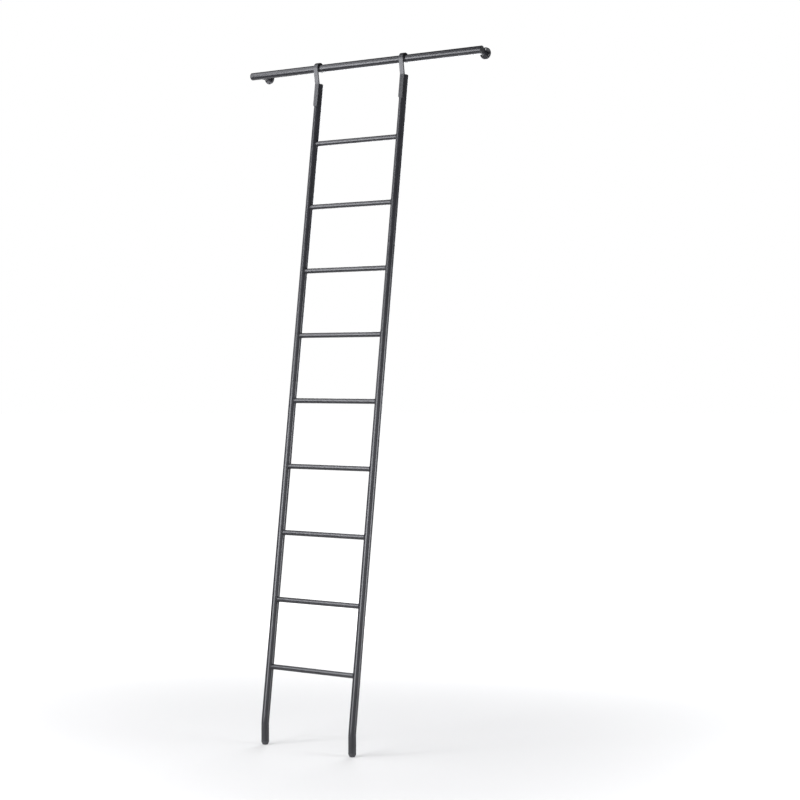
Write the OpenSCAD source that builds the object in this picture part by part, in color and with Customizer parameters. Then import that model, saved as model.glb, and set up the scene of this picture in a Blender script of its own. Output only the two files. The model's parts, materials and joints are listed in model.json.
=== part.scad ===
// Library ladder that hooks over a round rail and leans against a bookcase.
// +X runs along the rail, -Y faces the climber, +Z is up and Z = 0 is the floor.
// The rail is fixed to the bookcase's face. The ladder slides along it and tilts about it.

/* [Ladder] */
// Number of rungs
rung_count = 9; // [3:1:9]
// Distance from rung to rung along the stiles
rung_pitch = 260; // [220:1:265]
// Height of the lowest rung's axis above the floor
first_rung_h = 297; // [200:1:330]
// Distance between the two stiles' axes
stile_spacing = 410; // [320:1:480]
// Outer diameter of a stile
stile_d = 30; // [25:1:34]
// Wall thickness of a stile
stile_wall = 2; // [1.5:0.1:3]
// Outer diameter of a rung
rung_d = 20; // [16:1:25]
// Wall thickness of a rung
rung_wall = 1.5; // [1.2:0.1:2.5]
// Angle between the stiles and the vertical, in degrees
lean = 8.1; // [5:0.1:15]
// Where the ladder's middle stands along the rail, from the rail's middle
ladder_x = -8; // [-200:1:200]

/* [Feet] */
// Height above the floor at which the stiles bend to vertical
foot_bend_h = 85; // [60:1:140]
// Radius of that bend, to the stile's axis
foot_bend_r = 160; // [60:1:250]
// Height of the foot plug's visible pad
foot_pad_h = 15; // [12:1:25]
// How far the pad's end tapers in
foot_taper_in = 4; // [1:0.5:6]
// Height of the pad's tapered end
foot_taper_h = 10; // [4:1:11]

/* [Rail] */
// Height of the rail's axis above the floor
rail_h = 2663; // [2640:1:2800]
// Length of the rail over its end caps
rail_len = 1108; // [900:1:1600]
// Outer diameter of the rail
rail_d = 30; // [28:1:32]
// Wall thickness of the rail
rail_wall = 2; // [1.5:0.1:3]
// Distance from the bookcase's face to the rail's axis
standoff = 79; // [60:1:100]
// Distance from the rail's end to each post's axis
post_inset = 32; // [28:1:150]
// Outer diameter of a post
post_d = 20; // [18:1:22]
// Wall thickness of a post
post_wall = 2.5; // [2:0.1:3]

/* [Flanges] */
// Outer diameter of a flange
flange_d = 46; // [44:1:60]
// Thickness of a flange's plate
flange_t = 5; // [4:0.5:8]
// Diameter of the circle that the screw holes lie on
screw_pcd = 33; // [32.5:0.5:34]
// Diameter of a screw hole
screw_d = 4.5; // [3.5:0.5:5]
// Number of screw holes
screw_count = 3; // [2:1:4]

/* [Hooks] */
// Width of the hooks' flat bar
hook_w = 20; // [16:1:25]
// Thickness of the hooks' flat bar
hook_t = 6; // [4:0.5:8]
// Angle between a hook's sloping leg and the stile, in degrees
hook_slope = 18; // [14:1:24]
// Length of the leg on the stile's front, from the bend to its round end
hook_leg = 95; // [60:1:140]
// How far that leg stands proud of the stile's front
hook_proud = 4.5; // [3:0.5:5.5]
// Inside radius of the bend between the two legs
hook_bend_r = 10; // [6:1:16]

/* [Hidden] */
$fn = 96;
steel_colour = [0.16, 0.16, 0.17];
hook_colour = [0.24, 0.24, 0.25];
plastic_colour = [0.07, 0.07, 0.07];
glide_colour = [0.12, 0.12, 0.13];
zinc_colour = [0.32, 0.32, 0.33];

// Radii that several parts share
stile_r = stile_d / 2;
rail_r = rail_d / 2;
post_r = post_d / 2;
post_bore_r = post_r - post_wall;
rung_r = rung_d / 2;
flange_r = flange_d / 2;

// The running gap on each side of a glide, and the glide's own shape
running_gap = 0.3;
glide_wall = 1.7;
glide_lip = 1.2;
glide_lip_w = 1.6;
glide_wrap = 230;
glide_in_r = rail_r + running_gap;
glide_out_r = glide_in_r + glide_wall;

// The hook bends round the glide. Its section has small chamfered edges.
hook_in_r = glide_out_r + running_gap;
hook_out_r = hook_in_r + hook_t;
hook_chamfer = 0.8;
bend_y = -(hook_proud + hook_bend_r);
bend_z = -(hook_out_r + hook_bend_r + bend_y * cos(hook_slope)) / sin(hook_slope);
slope_len = bend_y * sin(hook_slope) - bend_z * cos(hook_slope);

// A bend is drawn this much slimmer all round than the straight runs on its two ends, and it
// reaches this many degrees into each of them, so that the three fuse into one piece.
bend_slim = 0.02;
bend_reach = 0.5;

// In the ladder's own plane the rail's axis is the origin and the stiles run straight down.
// The stiles' axes lie one stile radius behind that origin, so their fronts pass through it.
stile_y = stile_r;
stile_top_z = -64;
corner_z = (foot_bend_h - rail_h + stile_y * sin(lean)) / cos(lean);
bend_run = foot_bend_r * tan(lean / 2);
bend_top_z = corner_z + bend_run;
foot_len = foot_bend_h - bend_run - foot_pad_h;
first_rung_z = (first_rung_h - rail_h + stile_y * sin(lean)) / cos(lean);

// Across the depth the origin lies midway between the feet's fronts and the bookcase's face.
foot_from_rail_y = stile_y * cos(lean) + corner_z * sin(lean);
rail_y = (stile_r - foot_from_rail_y - standoff) / 2;
foot_y = rail_y + foot_from_rail_y;

// Plugs: how far their stems reach into the tubes, and their visible ends
stem_len = 16;
rail_cap_t = 4;
rail_cap_round = 2.5;
stile_cap_t = 3;
stile_cap_round = 2.5;
foot_edge_round = 1.5;

// How far a hook's hollow runs on above the stile's top, so that it clears the cap
hollow_over = 10;

// How far a hole is cut beyond the face that it comes out of
cut_over = 1;

// The flange's boss, the screw holes' countersinks and the grub screw that locks a post
flange_round = 1.5;
boss_len = 16;
sink_r = screw_d;
sink_depth = sink_r - screw_d / 2;
first_hole_angle = 90;
grub_r = 2.5;
grub_len = 4.8;
grub_seat_r = 5;
grub_along = 8;
grub_key_r = 1.45;
grub_key_depth = 2;
rail_tube_len = rail_len - 2 * rail_cap_t;
post_x = rail_len / 2 - post_inset;

// Places its children in the rail's frame: the rail's axis is X and its middle the origin.
module on_rail() {
    translate([0, rail_y, rail_h]) children();
}

// Places its children in the ladder's plane, tilted about the rail's axis.
module on_ladder() {
    translate([ladder_x, rail_y, rail_h]) rotate([-lean, 0, 0]) children();
}

// Lays a drawing's X along +Y and its Y along +Z, and its height along +X.
module side_on() {
    rotate([90, 0, 90]) children();
}

module ring_section(outer_r, wall) {
    difference() {
        circle(outer_r);
        circle(outer_r - wall);
    }
}

module tube(outer_r, wall, length) {
    linear_extrude(length) ring_section(outer_r, wall);
}

// One straight run of a stile, turned so that its seam line meets the bend's.
module stile_run(length) {
    rotate([0, 0, -90]) tube(stile_r, stile_wall, length);
}

// A disc that stands on Z = 0, with its upper edge rounded.
module disc(r, t, edge_round) {
    rotate_extrude() {
        square([r - edge_round, t]);
        square([r, t - edge_round]);
        translate([r - edge_round, t - edge_round]) intersection() {
            circle(edge_round);
            square(edge_round);
        }
    }
}

// A round plug with its shoulder at Z = 0, its head above it and its stem below.
module plug(head_r, head_t, head_round, stem_r) {
    disc(head_r, head_t, head_round);
    translate([0, 0, -stem_len]) cylinder(h = stem_len, r = stem_r);
}

// ---- Fixed rail ----

module rail_tube() {
    color(steel_colour) on_rail() side_on()
        translate([0, 0, -rail_tube_len / 2]) tube(rail_r, rail_wall, rail_tube_len);
}

module rail_cap(side) {
    color(plastic_colour) on_rail() translate([side * rail_tube_len / 2, 0, 0])
        rotate([0, side * 90, 0]) plug(rail_r, rail_cap_t, rail_cap_round, rail_r - rail_wall);
}

// Coped onto the back of the rail, with a hole underneath for its grub screw.
module post(side) {
    color(steel_colour) on_rail() difference() {
        translate([side * post_x, standoff - flange_t, 0]) rotate([90, 0, 0])
            tube(post_r, post_wall, standoff - flange_t);
        rotate([0, 90, 0]) cylinder(h = rail_len, r = rail_r, center = true);
        translate([side * post_x, standoff - flange_t - grub_along, -post_r])
            cylinder(h = post_r, r = grub_r);
    }
}

// Back face at Z = 0, with the boss standing up from the plate.
module flange_shape() {
    difference() {
        union() {
            disc(flange_r, flange_t, flange_round);
            cylinder(h = flange_t + boss_len, r = post_bore_r);
        }
        for (i = [0 : screw_count - 1]) rotate([0, 0, first_hole_angle + i * 360 / screw_count])
            translate([screw_pcd / 2, 0, 0]) {
                translate([0, 0, -cut_over])
                    cylinder(h = flange_t + 2 * cut_over, r = screw_d / 2);
                translate([0, 0, flange_t - sink_depth])
                    cylinder(h = sink_depth, r1 = screw_d / 2, r2 = sink_r);
            }
        translate([0, -post_r, flange_t + grub_along]) rotate([-90, 0, 0])
            cylinder(h = post_r - grub_seat_r, r = grub_r);
    }
}

module flange(side) {
    color(steel_colour) on_rail() translate([side * post_x, standoff, 0])
        rotate([90, 0, 0]) flange_shape();
}

module grub_screw(side) {
    color(zinc_colour) on_rail()
        translate([side * post_x, standoff - flange_t - grub_along, -grub_seat_r - grub_len])
        difference() {
            cylinder(h = grub_len, r = grub_r);
            cylinder(h = grub_key_depth, r = grub_key_r, $fn = 6);
        }
}

// ---- Sliding glides ----

// A snap-on sleeve over the top of the rail, with a low lip on each side of the hook.
module hook_glide(side) {
    half_w = hook_w / 2 + running_gap;
    color(glide_colour) on_rail() translate([ladder_x + side * stile_spacing / 2, 0, 0])
        side_on() rotate([0, 0, 90 - glide_wrap / 2]) rotate_extrude(angle = glide_wrap) {
            translate([glide_in_r, -half_w - glide_lip_w])
                square([glide_wall, 2 * (half_w + glide_lip_w)]);
            translate([glide_in_r, half_w]) square([glide_wall + glide_lip, glide_lip_w]);
            translate([glide_in_r, -half_w - glide_lip_w])
                square([glide_wall + glide_lip, glide_lip_w]);
        }
}

// ---- Ladder ----

// Section of the flat bar: thickness along X from 0, width along Y about 0.
// With slim above 0, its outline is that much smaller all round.
module bar_section(slim = 0) {
    x = hook_t - slim;
    w = hook_w / 2 - slim;
    c = hook_chamfer;
    polygon([
        [slim + c, -w], [x - c, -w], [x, c - w], [x, w - c],
        [x - c, w], [slim + c, w], [slim, w - c], [slim, c - w]
    ]);
}

// Straight bar that runs along +Y.
module bar_leg(length) {
    rotate([-90, 0, 0]) linear_extrude(length) bar_section();
}

// Round end of the bar, beyond Y = 0.
module bar_tip() {
    w = hook_w / 2;
    c = hook_chamfer;
    rotate([0, 90, 0]) rotate_extrude(angle = 180)
        polygon([[0, 0], [w - c, 0], [w, c], [w, hook_t - c], [w - c, hook_t], [0, hook_t]]);
}

// Bend through an angle about Z, from the X axis, with its ends inside the runs that it joins.
module bar_bend(inner_r, angle) {
    rotate([0, 0, -bend_reach]) rotate_extrude(angle = angle + 2 * bend_reach)
        translate([inner_r, 0]) bar_section(bend_slim);
}

// The whole bent bar, seen from the side, with the rail's axis at the origin.
module hook_bar() {
    tip_at = hook_leg - hook_w / 2;
    // Behind and over the rail
    translate([hook_in_r, 0, 0]) mirror([0, 1, 0]) bar_tip();
    bar_bend(hook_in_r, 180 + hook_slope);
    // Down the front, sloping in to the stile
    rotate([0, 0, 180 + hook_slope]) translate([hook_in_r, 0, 0]) bar_leg(slope_len);
    // Bend to the stile's direction, then down its front to a round end
    translate([bend_y, bend_z, 0]) {
        bar_bend(hook_bend_r, hook_slope);
        translate([hook_bend_r, 0, 0]) mirror([0, 1, 0]) {
            bar_leg(tip_at);
            translate([0, tip_at, 0]) bar_tip();
        }
    }
}

// The leg is hollowed on its back to bed on the round stile.
module hook(side) {
    color(hook_colour) on_ladder() translate([side * stile_spacing / 2, 0, 0]) difference() {
        side_on() hook_bar();
        translate([0, stile_y, bend_z - 2 * hook_leg])
            cylinder(h = 2 * hook_leg - bend_z + stile_top_z + hollow_over, r = stile_r);
    }
}

// The upright foot and the bend above it, with the bend's centre at the origin.
module stile_foot() {
    translate([0, -foot_bend_r, -foot_len]) stile_run(foot_len);
    side_on() rotate([0, 0, 180 - lean - bend_reach])
        rotate_extrude(angle = lean + 2 * bend_reach) translate([foot_bend_r, 0])
            ring_section(stile_r - bend_slim, stile_wall - 2 * bend_slim);
}

// Runs straight down the ladder's plane, then bends to stand upright on its foot.
module stile(side) {
    color(steel_colour) on_ladder() translate([side * stile_spacing / 2, stile_y, bend_top_z]) {
        stile_run(stile_top_z - bend_top_z);
        translate([0, foot_bend_r, 0]) rotate([lean, 0, 0]) stile_foot();
    }
}

module stile_cap(side) {
    color(plastic_colour) on_ladder()
        translate([side * stile_spacing / 2, stile_y, stile_top_z])
        plug(stile_r, stile_cap_t, stile_cap_round, stile_r - stile_wall);
}

// Stands on the floor: a tapered pad below the stile, with a stem inside it.
module foot(side) {
    tip_r = stile_r - foot_taper_in;
    e = foot_edge_round;
    color(plastic_colour)
        translate([ladder_x + side * stile_spacing / 2, foot_y, 0]) rotate_extrude() {
            translate([tip_r - e, e]) circle(e);
            square([tip_r - e, foot_pad_h]);
            polygon([
                [0, e], [tip_r, e], [stile_r, foot_taper_h],
                [stile_r, foot_pad_h], [0, foot_pad_h]
            ]);
            translate([0, foot_pad_h]) square([stile_r - stile_wall, stem_len]);
        }
}

// Coped at both ends to the round stiles.
module rung(i) {
    color(steel_colour) on_ladder() difference() {
        translate([0, stile_y, first_rung_z + (i - 1) * rung_pitch]) side_on()
            translate([0, 0, -stile_spacing / 2]) tube(rung_r, rung_wall, stile_spacing);
        for (side = [-1, 1]) translate([
            side * stile_spacing / 2, stile_y, first_rung_z + (i - 2) * rung_pitch
        ]) cylinder(h = 2 * rung_pitch, r = stile_r);
    }
}

rail_tube();
rail_cap(-1);  // rail_cap_left
rail_cap(1);  // rail_cap_right
post(-1);  // post_left
post(1);  // post_right
flange(-1);  // flange_left
flange(1);  // flange_right
grub_screw(-1);  // grub_screw_left
grub_screw(1);  // grub_screw_right
hook_glide(-1);  // hook_glide_left
hook_glide(1);  // hook_glide_right
hook(-1);  // hook_left
hook(1);  // hook_right
stile(-1);  // stile_left
stile(1);  // stile_right
stile_cap(-1);  // stile_cap_left
stile_cap(1);  // stile_cap_right
foot(-1);  // foot_left
foot(1);  // foot_right
for (i = [1 : rung_count]) rung(i);
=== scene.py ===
import json
import math

import bmesh
import bpy
from mathutils import Matrix, Vector


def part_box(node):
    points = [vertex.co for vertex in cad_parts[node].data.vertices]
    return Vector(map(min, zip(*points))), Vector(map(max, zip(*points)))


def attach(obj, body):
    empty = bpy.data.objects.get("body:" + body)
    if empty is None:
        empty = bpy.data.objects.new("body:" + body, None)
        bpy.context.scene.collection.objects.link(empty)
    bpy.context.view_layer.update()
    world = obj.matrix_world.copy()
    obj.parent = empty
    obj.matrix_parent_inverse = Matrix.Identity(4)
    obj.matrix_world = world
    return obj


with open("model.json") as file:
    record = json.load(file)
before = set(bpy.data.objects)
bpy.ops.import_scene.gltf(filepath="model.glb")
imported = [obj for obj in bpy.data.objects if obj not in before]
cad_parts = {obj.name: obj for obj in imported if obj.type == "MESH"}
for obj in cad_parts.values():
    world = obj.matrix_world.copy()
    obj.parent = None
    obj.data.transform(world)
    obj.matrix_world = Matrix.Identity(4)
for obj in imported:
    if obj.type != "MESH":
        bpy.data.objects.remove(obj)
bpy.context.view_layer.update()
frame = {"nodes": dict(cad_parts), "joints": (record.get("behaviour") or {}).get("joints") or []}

nodes = frame["nodes"]
scene = bpy.context.scene


# ---- What the frame says ----

def mid(node):
    low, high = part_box(node)
    return (low + high) / 2


def span(node):
    low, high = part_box(node)
    return high - low


RUNGS = sorted(n for n in nodes if n.startswith("rung_"))
tilt = next(j for j in frame["joints"] if j["name"] == "ladder_tilt")
rail_axis = Vector(tilt["pos_m"])
rail_r = span("rail_tube").z / 2
stile_r = span("stile_left").x / 2
rung_r = span(RUNGS[0]).z / 2
post_r = span("post_left").x / 2
hook_r = span("hook_left").x / 2

# The ladder's plane: ALONG runs up the stiles, OUT points to the climber's side
ALONG = (mid(RUNGS[-1]) - mid(RUNGS[0])).normalized()
ACROSS = Vector((1, 0, 0))
OUT = ACROSS.cross(ALONG).normalized()


# ---- Materials ----

class Graph:
    """One material's node tree, built by short calls. Lengths are in metres, and scales are per metre."""

    def __init__(self, name):
        self.material = bpy.data.materials.new(name)
        self.material.use_nodes = True
        self.tree = self.material.node_tree
        self.tree.nodes.clear()
        out = self.add("ShaderNodeOutputMaterial")
        self.shader = self.add("ShaderNodeBsdfPrincipled")
        self.link(self.shader.outputs["BSDF"], out.inputs["Surface"])
        self.place = self.add("ShaderNodeTexCoord").outputs["Object"]

    def add(self, kind, **settings):
        node = self.tree.nodes.new(kind)
        for key, value in settings.items():
            setattr(node, key, value)
        return node

    def link(self, source, target):
        self.tree.links.new(source, target)

    def stretched(self, scale):
        """The place on the object, stretched along each axis whose scale is under 1."""
        mapping = self.add("ShaderNodeMapping")
        mapping.inputs["Scale"].default_value = scale
        self.link(self.place, mapping.inputs["Vector"])
        return mapping.outputs["Vector"]

    def noise(self, scale, detail, rough, at=None):
        node = self.add("ShaderNodeTexNoise")
        node.inputs["Scale"].default_value = scale
        node.inputs["Detail"].default_value = detail
        node.inputs["Roughness"].default_value = rough
        self.link(at or self.place, node.inputs["Vector"])
        return node.outputs["Fac"]

    def cells(self, scale):
        """Soft round cells."""
        node = self.add("ShaderNodeTexVoronoi", feature="SMOOTH_F1")
        node.inputs["Scale"].default_value = scale
        node.inputs["Smoothness"].default_value = 1.0
        self.link(self.place, node.inputs["Vector"])
        return node.outputs["Distance"]

    def ramp(self, factor, low, high, start=0.3, end=0.7):
        """Goes from low to high as the factor goes from start to end."""
        node = self.add("ShaderNodeMapRange")
        node.inputs["From Min"].default_value = start
        node.inputs["From Max"].default_value = end
        node.inputs["To Min"].default_value = low
        node.inputs["To Max"].default_value = high
        self.link(factor, node.inputs["Value"])
        return node.outputs["Result"]

    def maths(self, operation, a, b):
        """Joins a with b, which is an output or a number."""
        node = self.add("ShaderNodeMath", operation=operation)
        self.link(a, node.inputs[0])
        if isinstance(b, float):
            node.inputs[1].default_value = b
        else:
            self.link(b, node.inputs[1])
        return node.outputs[0]

    def colours(self, factor, stops):
        node = self.add("ShaderNodeValToRGB")
        ramp = node.color_ramp
        while len(ramp.elements) < len(stops):
            ramp.elements.new(0.5)
        for element, (at, colour) in zip(ramp.elements, stops):
            element.position = at
            element.color = (*colour, 1)
        self.link(factor, node.inputs["Fac"])
        return node.outputs["Color"]

    def bump(self, height, depth, strength, under=None):
        node = self.add("ShaderNodeBump")
        node.inputs["Strength"].default_value = strength
        node.inputs["Distance"].default_value = depth
        self.link(height, node.inputs["Height"])
        if under is not None:
            self.link(under, node.inputs["Normal"])
        return node.outputs["Normal"]

    def finished(self, colour, rough, normal, **fixed):
        """Wires the shader, sets what is the same all over and returns the material."""
        self.link(colour, self.shader.inputs["Base Color"])
        self.link(rough, self.shader.inputs["Roughness"])
        self.link(normal, self.shader.inputs["Normal"])
        for socket, value in fixed.items():
            self.shader.inputs[socket].default_value = value
        return self.material


COAT_DARK = (0.0105, 0.0105, 0.0125)
COAT_LIGHT = (0.0170, 0.0170, 0.0200)


def powder_coat(name, run, rough):
    """Satin black powder coat: orange peel, faint drifts of gloss, and rub marks along the run."""
    g = Graph(name)
    drift = g.noise(scale=9, detail=3, rough=0.55)
    rubbed = g.noise(scale=70, detail=4, rough=0.6, at=g.stretched(run))
    tone = g.maths("ADD", g.maths("MULTIPLY", drift, 0.6), g.maths("MULTIPLY", rubbed, 0.4))
    colour = g.colours(tone, ((0.36, COAT_DARK), (0.5, COAT_LIGHT), (0.66, COAT_DARK)))
    wear = g.maths("ADD", drift, g.maths("MULTIPLY", rubbed, 0.7))
    gloss = g.ramp(wear, *rough, start=0.6, end=1.15)
    peel = g.bump(g.cells(scale=300), depth=0.000014, strength=0.25)
    speck = g.noise(scale=2600, detail=2, rough=0.5)
    grain = g.bump(speck, depth=0.000004, strength=0.3, under=peel)
    return g.finished(colour, gloss, grain, IOR=1.5)


def moulded(name, dark, light, rough, texture):
    """Moulded plastic: a fine eroded texture with slow changes of tone."""
    g = Graph(name)
    colour = g.colours(g.noise(scale=35, detail=3, rough=0.55), ((0.35, dark), (0.65, light)))
    gloss = g.ramp(g.noise(scale=160, detail=3, rough=0.5), *rough)
    skin = g.bump(g.noise(texture, detail=3, rough=0.6), depth=0.00005, strength=0.6)
    return g.finished(colour, gloss, skin, IOR=1.46)


def rubbery(name, dark, light):
    """Dark grey rubber, a little paler and rougher where it meets the floor."""
    g = Graph(name)
    scuff_top = 0.012
    scuffed = tuple(2.2 * c for c in light)
    split = g.add("ShaderNodeSeparateXYZ")
    g.link(g.place, split.inputs["Vector"])
    low = g.ramp(split.outputs["Z"], 1.0, 0.0, start=0.0, end=scuff_top)
    scuffs = g.maths("MULTIPLY", low, g.noise(scale=420, detail=4, rough=0.7))
    blotches = g.noise(scale=60, detail=3, rough=0.5)
    tone = g.maths("ADD", blotches, g.maths("MULTIPLY", scuffs, 0.5))
    colour = g.colours(tone, ((0.3, dark), (0.62, light), (1.0, scuffed)))
    gloss = g.ramp(tone, 0.5, 0.68, start=0.3, end=0.9)
    skin = g.bump(g.noise(scale=900, detail=3, rough=0.6), depth=0.00007, strength=0.6)
    return g.finished(colour, gloss, skin, IOR=1.5)


def oxide(name, dark, light):
    """Black-oxide steel with a trace of turning marks."""
    g = Graph(name)
    marks = g.noise(scale=900, detail=3, rough=0.6, at=g.stretched((1, 1, 9)))
    colour = g.colours(marks, ((0.35, dark), (0.7, light)))
    gloss = g.ramp(marks, 0.3, 0.48)
    skin = g.bump(marks, depth=0.00002, strength=0.5)
    return g.finished(colour, gloss, skin, Metallic=1.0)


# Rub marks run up the stiles and hooks, and along the rungs and the rail
UP_RUN = (1, 1, 0.06)
SIDE_RUN = (0.06, 1, 1)
NO_RUN = (1, 1, 1)
stile_coat = powder_coat("coat_stiles", UP_RUN, (0.295, 0.32))
side_coat = powder_coat("coat_rungs_and_rail", SIDE_RUN, (0.28, 0.305))
hook_coat = powder_coat("coat_hooks", UP_RUN, (0.31, 0.34))
weld_coat = powder_coat("coat_welds", NO_RUN, (0.34, 0.39))
cap_plastic = moulded("plastic_caps", (0.014, 0.014, 0.015), (0.024, 0.024, 0.026), (0.42, 0.55), 1900)
glide_nylon = moulded("nylon_glides", (0.012, 0.012, 0.013), (0.021, 0.021, 0.022), (0.34, 0.46), 1100)
foot_rubber = rubbery("rubber_feet", (0.022, 0.022, 0.024), (0.036, 0.036, 0.039))
screw_steel = oxide("oxide_grub_screws", (0.07, 0.07, 0.075), (0.16, 0.16, 0.17))

# How each node's name starts. A longer start comes before a shorter one.
FINISHES = (
    ("stile_cap", cap_plastic),
    ("stile", stile_coat),
    ("rail_cap", cap_plastic),
    ("rail", side_coat),
    ("rung", side_coat),
    ("post", side_coat),
    ("flange", side_coat),
    ("grub", screw_steel),
    ("hook_glide", glide_nylon),
    ("hook", hook_coat),
    ("foot", foot_rubber),
)
for name, node in nodes.items():
    finish = next(f for start, f in FINISHES if name.startswith(start))
    node.data.materials.clear()
    node.data.materials.append(finish)


# ---- Weld beads ----

# Length of one ripple, its depth as a share of the radius, and the bead's sides
RIPPLE = 0.0017
RIPPLE_DEPTH = 0.1
BEAD_SIDES = 10
# Spacing of the points along a hook's bead, and the share of its section left at an open end
STEP = 0.0004
END_SHARE = 0.05


def bead_rings(mesh, path, radius, closed):
    """The bead's cross-sections, one at each point of the path."""
    count = len(path)
    last = count - 1
    turns = [2 * math.pi * k / BEAD_SIDES for k in range(BEAD_SIDES)]
    rings = []
    travelled = 0.0
    normal = None
    for i, point in enumerate(path):
        before = path[i - 1] if closed or i else path[0]
        after = path[(i + 1) % count] if closed or i < last else path[last]
        tangent = (after - before).normalized()
        if normal is None:
            normal = tangent.orthogonal().normalized()
        normal = (normal - tangent * normal.dot(tangent)).normalized()
        side = tangent.cross(normal)
        travelled += (point - path[i - 1]).length if i else 0.0
        wave = abs(math.sin(math.pi * travelled / RIPPLE))
        r = radius * (1 - RIPPLE_DEPTH + RIPPLE_DEPTH * wave)
        if not closed:
            from_end = min(i, last - i) * STEP / radius
            r *= math.sqrt(min(1.0, END_SHARE + from_end))
        rings.append([
            mesh.verts.new(point + (normal * math.cos(t) + side * math.sin(t)) * r) for t in turns
        ])
    return rings


def bead(name, path, radius, body, closed):
    """A weld bead swept along the path, with the soft ripples that paint leaves showing."""
    mesh = bmesh.new()
    rings = bead_rings(mesh, path, radius, closed)
    for a, b in zip(rings, rings[1:]):
        for k in range(BEAD_SIDES):
            n = (k + 1) % BEAD_SIDES
            mesh.faces.new((a[k], a[n], b[n], b[k]))
    if closed:
        # The last ring has turned a little, so it joins the first one at the nearest corner
        a, b = rings[-1], rings[0]
        near = min(range(BEAD_SIDES), key=lambda s: (a[0].co - b[s].co).length)
        for k in range(BEAD_SIDES):
            n = (k + 1) % BEAD_SIDES
            mesh.faces.new((a[k], a[n], b[(n + near) % BEAD_SIDES], b[(k + near) % BEAD_SIDES]))
    else:
        mesh.faces.new(reversed(rings[0]))
        mesh.faces.new(rings[-1])
    bmesh.ops.recalc_face_normals(mesh, faces=mesh.faces)
    data = bpy.data.meshes.new(name)
    mesh.to_mesh(data)
    mesh.free()
    data.polygons.foreach_set("use_smooth", [True] * len(data.polygons))
    data.materials.append(weld_coat)
    piece = bpy.data.objects.new(name, data)
    scene.collection.objects.link(piece)
    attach(piece, body)


SADDLE_STEPS = 176
SADDLE_LIFT = 0.0002


def saddle(centre, axis, along, away, small_r, big_r):
    """Where a small round tube, along axis, meets a big one whose own axis is along."""
    path = []
    for i in range(SADDLE_STEPS):
        t = 2 * math.pi * i / SADDLE_STEPS
        u = (small_r + SADDLE_LIFT) * math.cos(t)
        w = (small_r + SADDLE_LIFT) * math.sin(t)
        reach = math.sqrt((big_r + SADDLE_LIFT) ** 2 - u * u)
        path.append(centre + axis * reach + away * u + along * w)
    return path


RUNG_BEAD_R = 0.0019
# A post's bead is a thin one, so that a glide clears it at the end of its slide
POST_BEAD_R = 0.0008
TO_WALL = Vector((0, 1, 0))
UP = Vector((0, 0, 1))
for side, sign in (("left", 1), ("right", -1)):
    stile_x = mid("stile_" + side).x
    for rung in RUNGS:
        centre = mid(rung)
        centre.x = stile_x
        path = saddle(centre, ACROSS * sign, ALONG, OUT, rung_r, stile_r)
        bead(f"weld_{rung}_{side}", path, RUNG_BEAD_R, "ladder", True)
    centre = Vector((mid("post_" + side).x, rail_axis.y, rail_axis.z))
    path = saddle(centre, TO_WALL, ACROSS, UP, post_r, rail_r)
    bead("weld_post_" + side, path, POST_BEAD_R, "rail", True)

# A hook's bead: where it starts and where the leg's round end begins, both from the rail's axis
# down the stile's front, then how far it lies inside the leg's edge and proud of the stile
HOOK_BEAD_R = 0.0017
HOOK_BEAD_TOP = 0.066
HOOK_LEG_END = 0.1481
HOOK_BEAD_INSET = 0.0004
HOOK_BEAD_PROUD = 0.0008


def hook_outline():
    """Down one edge of the leg, round its end and up the other edge, as (across, down) pairs."""
    half = hook_r - HOOK_BEAD_INSET
    down = int((HOOK_LEG_END - HOOK_BEAD_TOP) / STEP)
    turns = int(math.pi * half / STEP)
    edge = [(half, HOOK_BEAD_TOP + i * STEP) for i in range(down)]
    end = []
    for i in range(turns + 1):
        t = math.pi * i / turns
        end.append((half * math.cos(t), HOOK_LEG_END + half * math.sin(t)))
    return edge + end + [(-x, z) for x, z in reversed(edge)]


for side in ("left", "right"):
    origin = Vector((mid("stile_" + side).x, rail_axis.y, rail_axis.z))
    path = []
    for x, z in hook_outline():
        depth = stile_r - math.sqrt(stile_r**2 - x * x) - HOOK_BEAD_PROUD
        path.append(origin + ACROSS * x - ALONG * z - OUT * depth)
    bead("weld_hook_" + side, path, HOOK_BEAD_R, "ladder", False)


# ---- Stage ----

def stage_object(name, mesh, material):
    data = bpy.data.meshes.new(name)
    mesh.to_mesh(data)
    mesh.free()
    data.materials.append(material)
    thing = bpy.data.objects.new(name, data)
    scene.collection.objects.link(thing)
    return thing


# The paper is slightly warm, because the lights are slightly cool
PAPER = (0.567, 0.562, 0.545)
# How far from the origin the glow starts and stops to rise, and how strong it is there
FADE_START = 0.6
FADE_END = 4.5
NEAR_GLOW = 0.2
FAR_GLOW = 1.02


def studio_paper():
    """Pale paper that glows more with distance, so that the floor fades into the backdrop."""
    paper = bpy.data.materials.new("studio_paper")
    paper.use_nodes = True
    tree = paper.node_tree
    shader = tree.nodes["Principled BSDF"]
    shader.inputs["Base Color"].default_value = (*PAPER, 1)
    shader.inputs["Roughness"].default_value = 0.9
    shader.inputs["Emission Color"].default_value = (1, 1, 1, 1)
    where = tree.nodes.new("ShaderNodeTexCoord")
    length = tree.nodes.new("ShaderNodeVectorMath")
    length.operation = "LENGTH"
    fade = tree.nodes.new("ShaderNodeMapRange")
    fade.interpolation_type = "SMOOTHSTEP"
    fade.inputs["From Min"].default_value = FADE_START
    fade.inputs["From Max"].default_value = FADE_END
    fade.inputs["To Min"].default_value = NEAR_GLOW
    fade.inputs["To Max"].default_value = FAR_GLOW
    tree.links.new(where.outputs["Object"], length.inputs[0])
    tree.links.new(length.outputs["Value"], fade.inputs["Value"])
    tree.links.new(fade.outputs["Result"], shader.inputs["Emission Strength"])
    return paper


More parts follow.
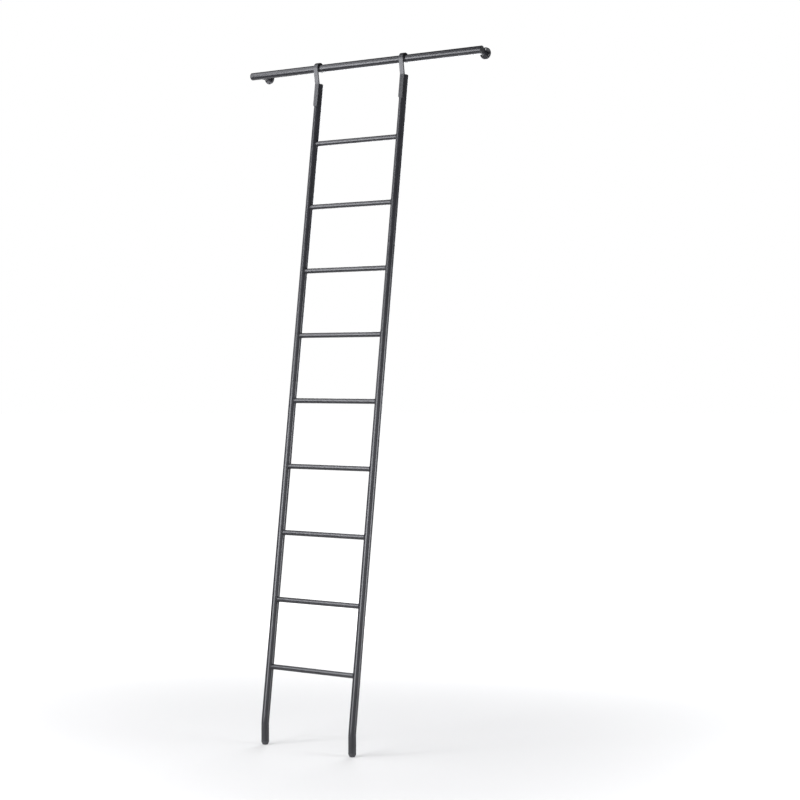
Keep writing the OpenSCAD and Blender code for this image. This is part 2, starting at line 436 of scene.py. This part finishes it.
# Only the near floor shows in the steel's gloss. The far one is seen and catches shadows.
FLOOR_SIDES = 96
FLOOR_R = 60.0
NEAR_R = 3.4
NEAR_AT = Matrix.Translation((0, 2.2, 0))

paper = studio_paper()
mesh = bmesh.new()
bmesh.ops.create_circle(mesh, cap_ends=True, segments=FLOOR_SIDES, radius=NEAR_R, matrix=NEAR_AT)
stage_object("studio_floor_near", mesh, paper)
mesh = bmesh.new()
inner = bmesh.ops.create_circle(mesh, segments=FLOOR_SIDES, radius=NEAR_R, matrix=NEAR_AT)["verts"]
outer = bmesh.ops.create_circle(mesh, segments=FLOOR_SIDES, radius=FLOOR_R)["verts"]
for i in range(FLOOR_SIDES):
    k = (i + 1) % FLOOR_SIDES
    mesh.faces.new((inner[i], inner[k], outer[k], outer[i]))
bmesh.ops.recalc_face_normals(mesh, faces=mesh.faces)
floor = stage_object("studio_floor", mesh, paper)
floor.visible_glossy = False

# A white globe that only the camera sees
glow = bpy.data.materials.new("studio_backdrop")
glow.use_nodes = True
glow.node_tree.nodes.clear()
emit = glow.node_tree.nodes.new("ShaderNodeEmission")
emit.inputs["Color"].default_value = (1, 1, 1, 1)
end = glow.node_tree.nodes.new("ShaderNodeOutputMaterial")
glow.node_tree.links.new(emit.outputs["Emission"], end.inputs["Surface"])
mesh = bmesh.new()
bmesh.ops.create_uvsphere(mesh, u_segments=48, v_segments=24, radius=FLOOR_R)
backdrop = stage_object("studio_backdrop", mesh, glow)
backdrop.visible_diffuse = False
backdrop.visible_glossy = False
backdrop.visible_transmission = False
backdrop.visible_shadow = False

world = bpy.data.worlds.new("studio_world")
world.use_nodes = True
sky = world.node_tree.nodes["Background"]
sky.inputs["Color"].default_value = (0.95, 0.97, 1.0, 1)
sky.inputs["Strength"].default_value = 0.1
scene.world = world


# ---- Lights ----

LIGHT_TINT = (0.975, 0.985, 1.03)


def softbox(name, place, target, width, height, radiance):
    """A square-on panel of light. Its power follows its area, so that it looks equally bright at any size."""
    light = bpy.data.lights.new(name, "AREA")
    light.shape = "RECTANGLE"
    light.size = width
    light.size_y = height
    light.energy = radiance * math.pi * width * height
    light.color = LIGHT_TINT
    lamp = bpy.data.objects.new(name, light)
    lamp.location = place
    lamp.rotation_euler = (Vector(target) - Vector(place)).to_track_quat("-Z", "Y").to_euler()
    lamp.visible_camera = False
    scene.collection.objects.link(lamp)


# Key and front draw the long highlights down the stiles, and the lights high up those on the rail
softbox("light_key", (-2.1, -2.9, 2.45), (0, 0, 2.0), 0.9, 2.5, 12.0)
softbox("light_front", (-0.8, -3.5, 1.25), (0, 0, 1.1), 1.7, 2.1, 10.0)
softbox("light_high_left", (-2.7, -2.0, 4.2), (0, 0, 2.0), 1.5, 1.0, 5.0)
softbox("light_left", (-3.4, -0.8, 2.6), (0, 0, 2.0), 1.2, 1.6, 2.0)
softbox("light_overhead", (-2.4, -1.0, 5.0), (0, 0, 1.6), 2.0, 1.8, 3.0)
# Right and fill light the side away from the key, and back the views from behind
softbox("light_right", (3.5, 0.6, 1.15), (0, 0, 1.15), 1.5, 2.2, 10.0)
softbox("light_fill", (2.6, -3.0, 1.3), (0, 0, 1.1), 2.4, 2.2, 1.5)
softbox("light_back", (-1.3, 3.6, 2.2), (0, 0, 1.5), 2.6, 2.6, 6.0)


# ---- Camera ----

# A level camera on the ladder's right, so that upright lines stay upright. Its shifts only frame the object.
EYE_AT = (3.9433, -5.5719, 1.422)
EYE_TURN = 33.35  # degrees to the left of the +Y axis
eye = bpy.data.cameras.new("camera")
eye.sensor_width = 36.0
eye.lens = 78.73
eye.shift_x = -0.0006
eye.shift_y = -0.0294
eye.clip_end = 200.0
camera = bpy.data.objects.new("camera", eye)
camera.location = EYE_AT
camera.rotation_euler = (math.radians(90), 0, math.radians(EYE_TURN))
scene.collection.objects.link(camera)
scene.camera = camera
scene.view_settings.view_transform = "Standard"
